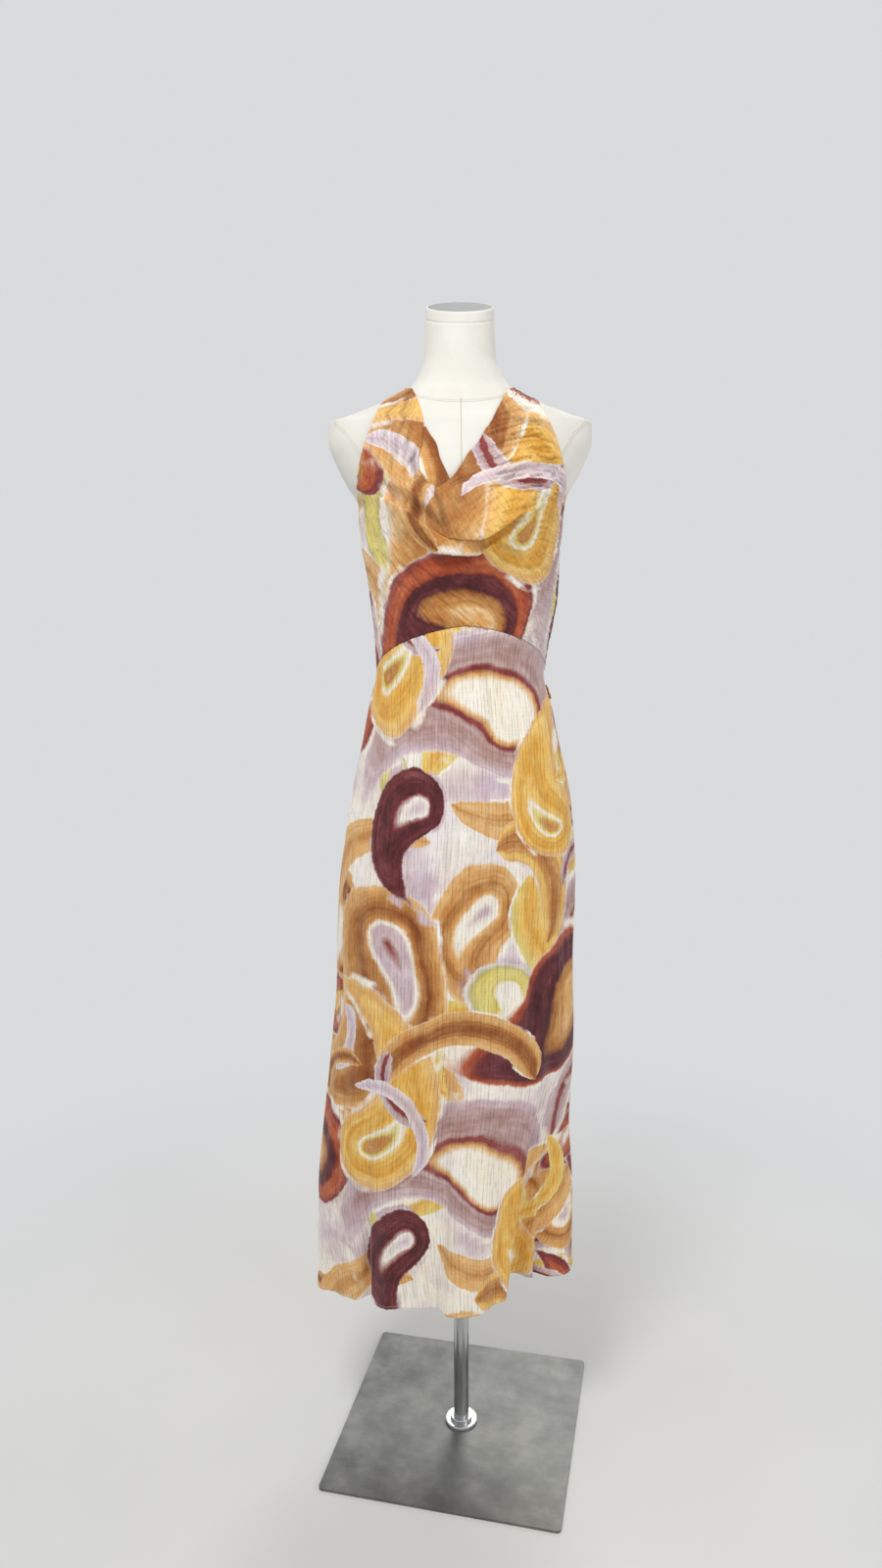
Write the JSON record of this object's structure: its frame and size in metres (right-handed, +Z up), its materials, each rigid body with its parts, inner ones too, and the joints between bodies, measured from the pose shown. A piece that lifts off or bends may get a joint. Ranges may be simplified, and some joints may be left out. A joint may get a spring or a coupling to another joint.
{
  "type": "maxi dress on dress form",
  "caption": "Sleeveless halter maxi dress with a cowl neck and an arched waist seam, on a limbless dress form with a pole and a square steel base plate.",
  "frame": {"origin": "centre of the base plate's underside, where the stand rests on the floor", "axes": "+Z up along the pole, -Y towards the front of the dress, +X towards the wearer's left"},
  "size_m": [0.4613, 0.4526, 1.8108],
  "materials": {
    "printed_gauze": "crinkled cotton gauze with a soft watercolour paisley print",
    "form_linen": "cream linen stretched over the form",
    "plate_steel": "brushed, with cloudy handling marks",
    "pole_steel": "polished",
    "cap_grey": "matt"
  },
  "bodies": {
    "root": {"base_plate": "plate_steel", "base_flange": "pole_steel", "pole": "pole_steel", "form_collar": "pole_steel", "form_torso": "form_linen", "neck_cap": "cap_grey", "bodice_front": "printed_gauze", "cowl_facing": "printed_gauze", "neck_band": "printed_gauze", "skirt_front": "printed_gauze", "skirt_back": "printed_gauze", "back_casing": "printed_gauze"}
  },
  "joints": []
}
